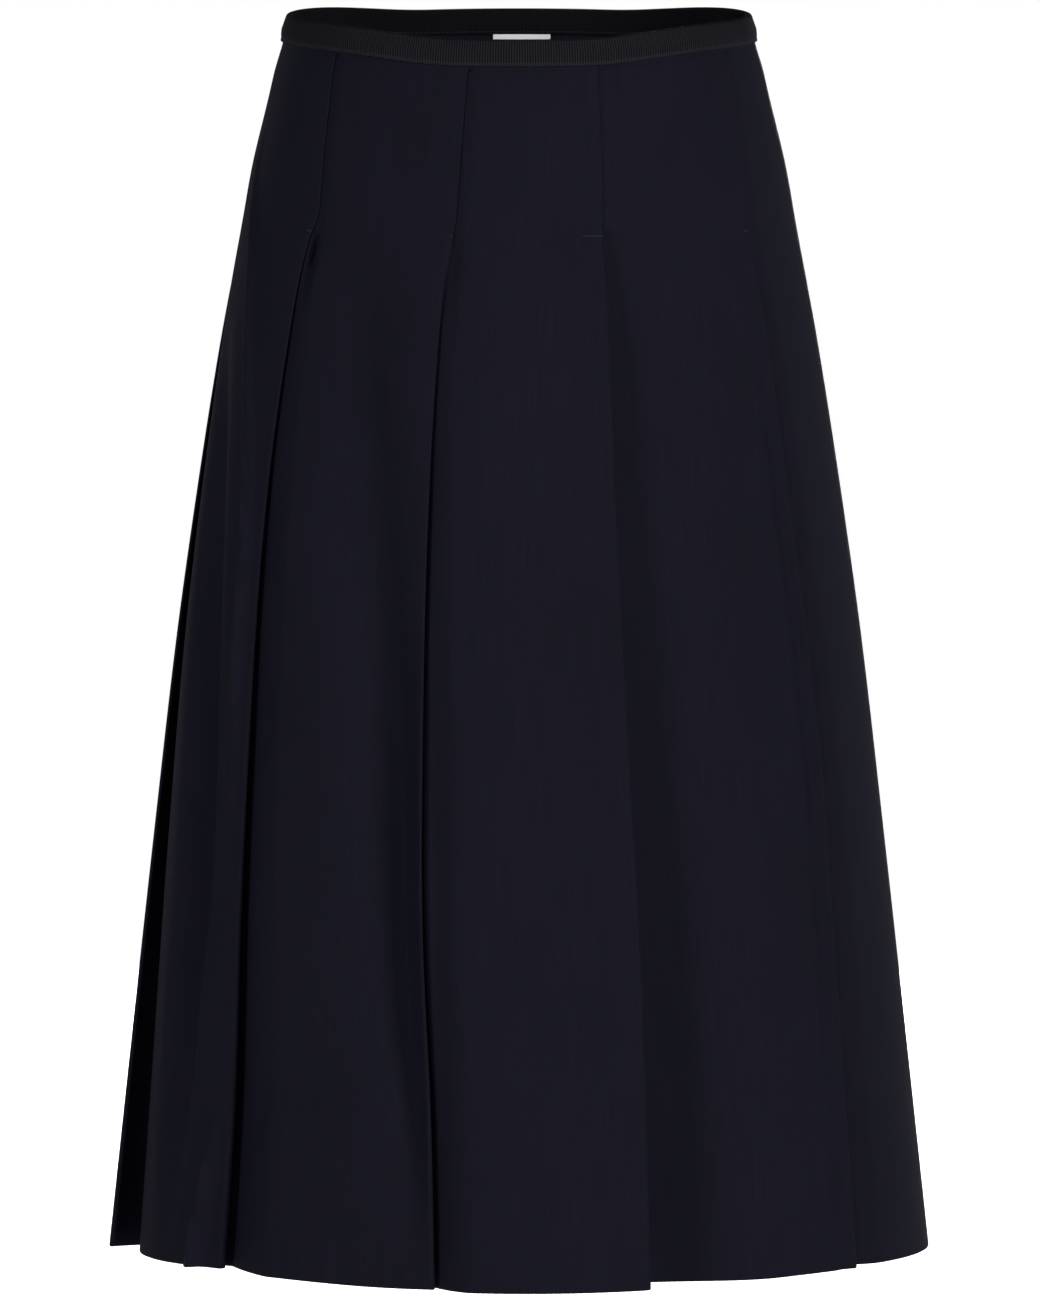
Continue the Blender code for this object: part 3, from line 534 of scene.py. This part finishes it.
heights = row_heights()
rings = [ring_at(z) for z in heights]
for name, node, first, last, cut, cut_area in (
        ("front_cloth", "skirt_front", RIGHT_SEAM_PLEAT, ZIP_PLEAT, (0.86, 0.76), 0.560),
        ("back_cloth", "skirt_back", ZIP_PLEAT, RIGHT_SEAM_PLEAT + len(PLEATS), (0.82, 0.76), 0.517)):
    keys, counts, panels = cloth_grid(first, last, rings)
    points = hem_turned(smooth_columns(keys, counts), heights)
    across_length, down_length = lengths_along(points, 1), lengths_along(points, 0)
    panels = np.array(panels)
    middles = [int(np.flatnonzero(panels == k).mean()) for k in range(panels.max() + 1)]
    columns = np.arange(points.shape[1] - 1)
    own_middle = np.array(middles)[panels]
    start = PANEL_GRAIN * panels + first
    left = np.stack([across_length[:, columns] - across_length[:, own_middle] + start,
                     -down_length[:, own_middle]], axis=2)
    right = np.stack([across_length[:, columns + 1] - across_length[:, own_middle] + start,
                      -down_length[:, own_middle]], axis=2)
    item = sheet_mesh(name, points, (left, right), wool)
    add_wall(item, CLOTH_THICKNESS)
    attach(item, "skirt")
    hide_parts(node)


# ------------------------------------------------------------------------------------------ the waistband
# A ribbed grosgrain ribbon, nearly black, is folded over the cloth's raw edge all round and topstitched
# along its lower edge. Its two ends meet at the zip.

RIBBON_THICKNESS = 0.0007
RIBBON_STAND_OFF = 0.0013       # from the middle of the cloth to the middle of the ribbon
RIBBON_LOW = -0.0016            # its lower edge, its middle and its folded top
RIBBON_WAIST = 0.0050
RIBBON_TOP = 0.0134
CROWN_STEPS = 6
STITCH_DENT = 0.0002            # how far the topstitch pulls it in
RIB_PITCH = 0.00150
RIB_HEIGHT = 0.00024            # half of a rib's relief
RIB_COLUMNS = 4
ZIP_ACROSS = 0.0051             # from the zip's fold line to its slit


def zip_angle(ring):
    line = fold_angle(ZIP_PLEAT, ring.z)
    return line + ZIP_ACROSS / speed(line, ring)


def even_angles(start, end, ring, pitch):
    """Angles a fixed length apart round the ring."""
    fine = np.linspace(start, end, 4000)
    lengths = np.concatenate([[0.0], np.cumsum(np.diff(fine) * np.hypot(
        ring.half_width * np.cos(fine[1:]), ring.half_depth * np.sin(fine[1:])))])
    count = max(int(round(lengths[-1] / pitch)), 1)
    return np.interp(np.linspace(0.0, lengths[-1], count + 1), lengths, fine)


waist = ring_at(0.0)
slit = ZIP_GAP / 2 / speed(zip_angle(waist), waist)
band_start, band_end = zip_angle(waist) + slit, zip_angle(waist) - slit + 2 * math.pi
angles = even_angles(band_start, band_end, waist, RIB_PITCH / RIB_COLUMNS)
crown = RIBBON_TOP - RIBBON_THICKNESS / 2 - RIBBON_STAND_OFF
profile = [(RIBBON_STAND_OFF, RIBBON_LOW), (RIBBON_STAND_OFF, RIBBON_LOW + 0.0007),
           (RIBBON_STAND_OFF - STITCH_DENT, RIBBON_LOW + 0.0020),
           (RIBBON_STAND_OFF, RIBBON_LOW + 0.0034), (RIBBON_STAND_OFF, RIBBON_WAIST)]
profile += [(RIBBON_STAND_OFF * math.cos(turn), crown + RIBBON_STAND_OFF * math.sin(turn))
            for turn in (math.pi * k / CROWN_STEPS for k in range(CROWN_STEPS + 1))]
profile += [(-out, z) for out, z in reversed(profile[:5])]
rows = []
for out, z in profile:
    ring = ring_at(z)
    side = 1.0 if out >= 0 else -1.0
    row = []
    for k, angle in enumerate(angles):
        rib = math.cos(2 * math.pi * k / RIB_COLUMNS)
        lean = max(z - crown, 0.0) / RIBBON_STAND_OFF
        point = oval_point(angle, -out - side * RIB_HEIGHT * rib * (1.0 - lean), ring)
        row.append(point + Vector((0.0, 0.0, RIB_HEIGHT * rib * lean)))
    rows.append(row)
points = np.array(rows)[::-1]
down_length = lengths_along(points, 0)
crest = RIB_COLUMNS / 4         # columns that line the painted shade between the ribs up with the ribs' hollows
across_length = np.zeros_like(down_length) + (np.arange(len(angles)) + crest) * RIB_PITCH / RIB_COLUMNS

RIBBON_DARK_AND_SHADE = (0.0020, 0.0022, 0.0031)      # painted shade between the ribs and over nearly all the inside, and the dark end of the wear
RIBBON_LIGHT = (0.0142, 0.0146, 0.0190)
RIBBON_THREADS = 2600.0         # to the metre
RIBBON_WEAR = (700.0, 160.0)    # spots to the metre, across and along the ribs
OUTSIDE_START = 0.0165          # from the ribbon's inner edge to its crown, past which the inside is painted in shade
PAINTED_HIGHLIGHT_START = 0.0288         # and to the painted highlight along the lower edge of its outside
EDGE_SHARPNESS = 1500.0         # these change over two thirds of a millimetre
grosgrain, shader = new_finish("black_grosgrain_ribbon", RIBBON_LIGHT, 0.5, Specular_IOR_Level=0.06,
                               Sheen_Weight=0.012, Sheen_Roughness=0.4)
across, lengthwise = grain_axes()
# painted shade between the ribs, lightest on their crests
painted_rib_shade = threads(across, 1.0 / RIB_PITCH) * 0.5 + 0.5
rib_threads = threads(lengthwise, RIBBON_THREADS)
wear = speckle(across, lengthwise, RIBBON_WEAR)
# the inside of the ribbon is darkened to about a sixth of its tone: painted shade
outside = ((lengthwise - OUTSIDE_START) * EDGE_SHARPNESS).clamp()
# a painted highlight along the outside's lower edge, by the topstitch
painted_edge_highlight = ((lengthwise - PAINTED_HIGHLIGHT_START) * EDGE_SHARPNESS).clamp()
tone = (painted_rib_shade * 1.90 + wear * 0.42 + painted_edge_highlight * 0.95 - 1.10).clamp() * (outside * 0.84 + 0.16)
feed(shader, Base_Color=tone.mixed(RIBBON_DARK_AND_SHADE, RIBBON_LIGHT),
     Roughness=wear * 0.14 + 0.42, Normal=bumped(rib_threads * 0.5 + wear * 0.6, 0.00008, 0.7))
band = sheet_mesh("ribbon_band", points, plain_grain(across_length, down_length), grosgrain)
add_wall(band, RIBBON_THICKNESS)
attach(band, "skirt")
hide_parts("waistband")

# ------------------------------------------------------------------------------------ the band's topstitch
# One row of short lockstitches in navy thread runs along the ribbon's lower edge, outside and inside. It
# goes through both layers of the ribbon and the cloth between them.

THREAD_RADIUS = 0.00020
STITCH_PITCH = 0.0027
STITCH_LENGTH = 0.0021
STITCH_RISE = 0.0015            # above the ribbon's lower edge
STITCH_END = 0.01               # radians left without stitches at either side of the zip
STITCH_SIDES = 6
# a stitch's rings: how far along it, its share of the thread's radius, and how deep it has sunk in
STITCH_RINGS = ((0.0, 0.5, 0.9), (0.18, 1.0, 0.1), (0.82, 1.0, 0.1), (1.0, 0.5, 0.9))


def add_stitches(name, stitches, material):
    """Small rounded stitches, each given as its two ends, the way it faces and its thread's radius."""
    vertices, faces = [], []
    for start, end, facing, radius in stitches:
        run = end - start
        side = run.cross(facing).normalized()
        base = len(vertices)
        for place, swell, sink in STITCH_RINGS:
            centre = start + run * place - facing * radius * sink
            vertices += [centre + (side * math.cos(turn) + facing * math.sin(turn)) * radius * swell
                         for turn in (2 * math.pi * k / STITCH_SIDES for k in range(STITCH_SIDES))]
        last = base + (len(STITCH_RINGS) - 1) * STITCH_SIDES
        for low in range(base, last, STITCH_SIDES):
            high = low + STITCH_SIDES
            faces += [(low + k, low + (k + 1) % STITCH_SIDES, high + (k + 1) % STITCH_SIDES, high + k)
                      for k in range(STITCH_SIDES)]
        faces += [tuple(base + k for k in reversed(range(STITCH_SIDES))),
                  tuple(last + k for k in range(STITCH_SIDES))]
    mesh = bpy.data.meshes.new(name)
    mesh.from_pydata([tuple(v) for v in vertices], [], faces)
    shape = bmesh.new()
    shape.from_mesh(mesh)
    bmesh.ops.recalc_face_normals(shape, faces=shape.faces)
    shape.to_mesh(mesh)
    shape.free()
    mesh.materials.append(material)
    mesh.shade_smooth()
    item = bpy.data.objects.new(name, mesh)
    bpy.context.scene.collection.objects.link(item)
    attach(item, "skirt")


def surface(angle, inset, z):
    """A point on the skirt's ring, the way out from it and the way along it."""
    ring = ring_at(z)
    place = oval_point(angle, inset, ring)
    outward = (oval_point(angle, inset - 0.001, ring) - place).normalized()
    onward = (oval_point(angle + 0.002, inset, ring) - place).normalized()
    return place, outward, onward


def mottle(scale, detail):
    """Noise through a small piece, 0 to 1, with about so many spots to the metre."""
    place = Shade(Shade.node("ShaderNodeTexCoord").outputs["Object"])
    return Shade(Shade.node("ShaderNodeTexNoise", Vector=place, Scale=scale, Detail=detail).outputs["Fac"])


thread, shader = new_finish("navy_sewing_thread", (0.013, 0.014, 0.020), 0.6, Specular_IOR_Level=0.2)
twist = mottle(2600.0, 1.0)
feed(shader, Base_Color=twist.mixed((0.009, 0.010, 0.015), (0.018, 0.019, 0.028)),
     Roughness=twist * 0.2 + 0.5, Normal=bumped(twist, 0.00006, 0.6))

stitches = []
face = RIBBON_STAND_OFF - STITCH_DENT + RIBBON_THICKNESS / 2 + RIB_HEIGHT
for angle in even_angles(band_start + STITCH_END, band_end - STITCH_END, waist, STITCH_PITCH):
    for way in (1.0, -1.0):
        middle, outward, onward = surface(angle, -way * face, RIBBON_LOW + STITCH_RISE)
        half = onward * STITCH_LENGTH / 2
        stitches.append((middle - half, middle + half, outward * way, THREAD_RADIUS))
add_stitches("band_topstitch", stitches, thread)

# ------------------------------------------------------------------------------------------- the bar tacks
# Where each stitched pleat ends at the hip, a bar of close satin stitches, up to a centimetre wide, holds
# the layers together so that the hanging pleat can't tear the seam. There is none under the zip.

TACK_HEIGHT = -0.1034
TACK_RISE = 0.0012              # the length of its stitches
TACK_PITCH = 0.00042
TACK_WAVER = 0.0004             # how far it strays up and down
TACK_OVERLAP = 0.0003           # past the fold edge
TACK_SLANT = 0.00018            # from a stitch's foot to its head
TACK_THREAD = 1.1               # its thread's share of the topstitch's
stitches = []
for number, pleat in enumerate(PLEATS):
    width = pleat.tack / 1000
    count = int(width / TACK_PITCH)
    for k in range(count):
        share = k / (count - 1)
        z = TACK_HEIGHT + TACK_WAVER * math.sin(2.4 * share + number)
        ring = ring_at(z)
        line = fold_angle(number, z)
        angle = line - (width * (1.0 - share) - TACK_OVERLAP) / speed(line, ring)
        inset = (panel_inset(number, angle, ring) + creasing(angle, ring)
                 - CLOTH_THICKNESS / 2 - THREAD_RADIUS / 2)
        foot = surface(angle, inset, z - TACK_RISE / 2)[0]
        head, outward, onward = surface(angle, inset, z + TACK_RISE / 2)
        stitches.append((foot, head + onward * TACK_SLANT, outward, THREAD_RADIUS * TACK_THREAD))
add_stitches("pleat_bar_tacks", stitches, thread)

# ----------------------------------------------------------------------------------------------- the label
# A blank strip of white satin, folded double with both ends sewn under the band at the middle of the
# back. It hangs down inside against the cloth.

LABEL_ANGLE = math.radians(179.3)
LABEL_WIDTH = 0.034
LABEL_HEIGHT = 0.0145
LABEL_PLY = 0.0006              # between its two layers
LABEL_THICKNESS = 0.00030
LABEL_NEAR = 0.0009             # how far its outer layer lies inside the cloth's middle
LABEL_ROWS = 8                  # to each of its layers
LABEL_TURN_STEPS = 6
LABEL_COLUMNS = 24
LABEL_BELLY = 0.0012            # how far its foot stands off the cloth in the middle
label_top = RIBBON_LOW - 0.0002
label_foot = label_top - LABEL_HEIGHT
course = [(LABEL_NEAR + LABEL_PLY, blend(label_top, label_foot + LABEL_PLY, k / LABEL_ROWS))
          for k in range(LABEL_ROWS + 1)]
course += [(LABEL_NEAR + LABEL_PLY / 2 * (1 + math.cos(turn)),
            label_foot + LABEL_PLY * (1 - math.sin(turn)))
           for turn in (math.pi * k / LABEL_TURN_STEPS for k in range(1, LABEL_TURN_STEPS))]
course += [(LABEL_NEAR, blend(label_foot + LABEL_PLY, label_top, k / LABEL_ROWS))
           for k in range(LABEL_ROWS + 1)]
label_number = next(k for k in range(len(PLEATS)) if fold_angle(k, 0.0) > LABEL_ANGLE)
rows = []
for inset, z in course:
    ring = ring_at(z)
    half = LABEL_WIDTH / 2 / speed(LABEL_ANGLE, ring)
    row_angles = [LABEL_ANGLE + blend(-half, half, k / LABEL_COLUMNS) for k in range(LABEL_COLUMNS + 1)]
    drop = (label_top - z) / LABEL_HEIGHT
    rows.append([oval_point(angle, panel_inset(label_number, angle, ring) + inset
                            + LABEL_BELLY * drop * math.sin(math.pi * k / LABEL_COLUMNS), ring)
                 for k, angle in enumerate(row_angles)])
points = np.array(rows)
SATIN_FLOATS = (600.0, 5200.0)  # spots to the metre, across and along the threads
satin, shader = new_finish("white_label_satin", (0.90, 0.89, 0.92), 0.4, Specular_IOR_Level=0.5)
across, lengthwise = grain_axes()
floats = speckle(across, lengthwise, SATIN_FLOATS)
feed(shader, Base_Color=floats.mixed((0.86, 0.85, 0.88), (0.95, 0.94, 0.96)), Roughness=floats * 0.2 + 0.32,
     Normal=bumped(floats, 0.00005, 0.6))
label = sheet_mesh("blank_label", points, plain_grain(lengths_along(points, 1), lengths_along(points, 0)),
                   satin)
add_wall(label, LABEL_THICKNESS)
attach(label, "skirt")
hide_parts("label")

# ------------------------------------------------------------------------------------------------- the zip
# A concealed zip closes the seam on the wearer's left: two woven tapes with a nylon coil between them,
# sewn inside along the slit, an enamelled slider at the top where it is closed, and its drop-shaped pull.

TAPE_REACH = 0.0098             # from the slit to either edge
TAPE_INSET = 0.0012
TAPE_THICKNESS = 0.0004
TAPE_TOP, TAPE_FOOT = -0.0137, -0.1448
TAPE_ROWS = 60
TAPE_COLUMNS = 16
TAPE_KNIT = (1100.0, 900.0)     # loops to the metre, across and along
tape_finish, shader = new_finish("navy_tape", (0.0065, 0.0068, 0.011), 0.7, Specular_IOR_Level=0.2)
across, lengthwise = grain_axes()
knit = threads(across, TAPE_KNIT[0]) * threads(lengthwise, TAPE_KNIT[1])
feed(shader, Base_Color=(knit * 0.5 + 0.5).mixed((0.0043, 0.0046, 0.0080), (0.0086, 0.0090, 0.0136)),
     Normal=bumped(knit, 0.0001, 0.7))
rows = []
offsets = np.linspace(-TAPE_REACH, TAPE_REACH, TAPE_COLUMNS + 1)
for k in range(TAPE_ROWS + 1):
    ring = ring_at(blend(TAPE_TOP, TAPE_FOOT, k / TAPE_ROWS))
    middle = zip_angle(ring)
    rows.append([oval_point(middle + offset / speed(middle, ring), TAPE_INSET, ring) for offset in offsets])
points = np.array(rows)
tape = sheet_mesh("zip_tapes", points, plain_grain(lengths_along(points, 1), lengths_along(points, 0)),
                  tape_finish)
add_wall(tape, TAPE_THICKNESS)
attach(tape, "skirt")
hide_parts("zip_tape")

COIL_PITCH = 0.0013
COIL_REACH = 0.0017             # of each tooth to its own side of the slit
COIL_GRIP = 0.0006              # and to the other side
COIL_RADIUS = 0.00042
COIL_START = 0.001              # below the tapes' top
COIL_SHORT = 0.004              # how much shorter than the tapes the coil is
stitches = []
for k in range(int((TAPE_TOP - TAPE_FOOT - COIL_SHORT) / COIL_PITCH)):
    z = TAPE_TOP - COIL_START - k * COIL_PITCH
    ring = ring_at(z)
    middle = zip_angle(ring)
    for side in (-1.0, 1.0):
        height = z - 0.25 * COIL_PITCH * side
        place, outward, onward = surface(middle, TAPE_INSET + TAPE_THICKNESS / 2 + COIL_RADIUS, height)
        stitches.append((place + onward * side * COIL_REACH, place - onward * side * COIL_GRIP, -outward,
                         COIL_RADIUS))
coil_finish, shader = new_finish("navy_nylon_coil", (0.0072, 0.0079, 0.0122), 0.35, Specular_IOR_Level=0.35)
mould = mottle(900.0, 1.0)
feed(shader, Roughness=mould * 0.2 + 0.28, Normal=bumped(mould, 0.00004, 0.4))
add_stitches("zip_coil", stitches, coil_finish)

# the slider and the pull keep their solids' shape under dark enamel, a little rubbed
enamel, shader = new_finish("dark_zip_enamel", (0.010, 0.0107, 0.0143), 0.35, Metallic=0.8,
                            Specular_IOR_Level=0.35)
rubs = mottle(700.0, 3.0)
feed(shader, Base_Color=rubs.mixed((0.0072, 0.0079, 0.0107), (0.0157, 0.0164, 0.0207)),
     Roughness=rubs * 0.25 + 0.22, Normal=bumped(rubs, 0.00003, 0.5))
for node in ("zip_slider", "zip_pull"):
    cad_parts[node].data.materials.clear()
    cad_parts[node].data.materials.append(enamel)

# -------------------------------------------------------------------------------- floor, lights and camera
# A plain pale floor, with the skirt hanging at waist height above it, and soft lights: two in front, two
# behind that graze its sides, and one for its back.

FLOOR_HEIGHT = -1.04
FLOOR_SIZE = 60.0
paper, shader = new_finish("pale_paper", (0.80, 0.80, 0.80), 0.9, Emission_Strength=1.0)
seen = Shade(Shade.node("ShaderNodeLightPath").outputs["Is Camera Ray"])
feed(shader, Emission_Color=seen.mixed((0.045, 0.045, 0.045), (0.92, 0.92, 0.92)))
bpy.ops.mesh.primitive_plane_add(size=FLOOR_SIZE, location=(0.0, 0.0, FLOOR_HEIGHT))
floor = bpy.context.active_object
floor.name = "pale_floor"
floor.data.materials.append(paper)

SoftBox = namedtuple("SoftBox", "name place aim width height power")
LIGHTS = (
    SoftBox("right_key", (2.7, -3.0, 0.9), (0.0, 0.0, -0.25), 1.0, 2.0, 127.0),
    SoftBox("left_key", (-3.0, -2.7, 0.9), (0.0, 0.0, -0.25), 1.0, 2.0, 75.0),
    SoftBox("left_edge", (-2.15, 3.4, 0.3), (0.0, 0.0, -0.30), 1.0, 2.0, 3.0),
    SoftBox("right_edge", (2.9, 2.8, 0.3), (0.0, 0.0, -0.30), 1.0, 2.0, 6.0),
    SoftBox("back_fill", (0.3, 4.5, -0.1), (0.0, 0.0, -0.30), 1.5, 1.5, 120.0),
)
for light in LIGHTS:
    data = bpy.data.lights.new(light.name, "AREA")
    data.shape = "RECTANGLE"
    data.size, data.size_y = light.width, light.height
    data.energy = light.power
    lamp = bpy.data.objects.new(light.name, data)
    lamp.visible_camera = False
    bpy.context.scene.collection.objects.link(lamp)
    lamp.location = light.place
    lamp.rotation_euler = (Vector(light.aim) - Vector(light.place)).to_track_quat("-Z", "Y").to_euler()

world = bpy.data.worlds.new("studio_air")
bpy.context.scene.world = world
world.use_nodes = True
Shade.tree = world.node_tree
air = world.node_tree.nodes["Background"]
air.inputs["Color"].default_value = (1.0, 1.0, 1.0, 1.0)
seen = Shade(Shade.node("ShaderNodeLightPath").outputs["Is Camera Ray"])
feed(air, Strength=seen * 0.90 + 0.10)
bpy.context.scene.view_settings.view_transform = "Standard"

CAMERA_PLACE = Vector((0.0006, -5.0, 0.02))
CAMERA_AIM = Vector((0.0006, 0.0, -0.35))
FRAME_HEIGHT = 1300             # pixels from the frame's top to its bottom
FOCAL_PIXELS = 8620
SENSOR_HEIGHT = 36.0            # millimetres
lens = bpy.data.cameras.new("camera")
lens.sensor_fit = "VERTICAL"
lens.sensor_height = SENSOR_HEIGHT
lens.lens = SENSOR_HEIGHT * FOCAL_PIXELS / FRAME_HEIGHT
lens.clip_end = 50.0
camera = bpy.data.objects.new("camera", lens)
bpy.context.scene.collection.objects.link(camera)
camera.location = CAMERA_PLACE
camera.rotation_euler = (CAMERA_AIM - CAMERA_PLACE).to_track_quat("-Z", "Y").to_euler()
bpy.context.scene.camera = camera
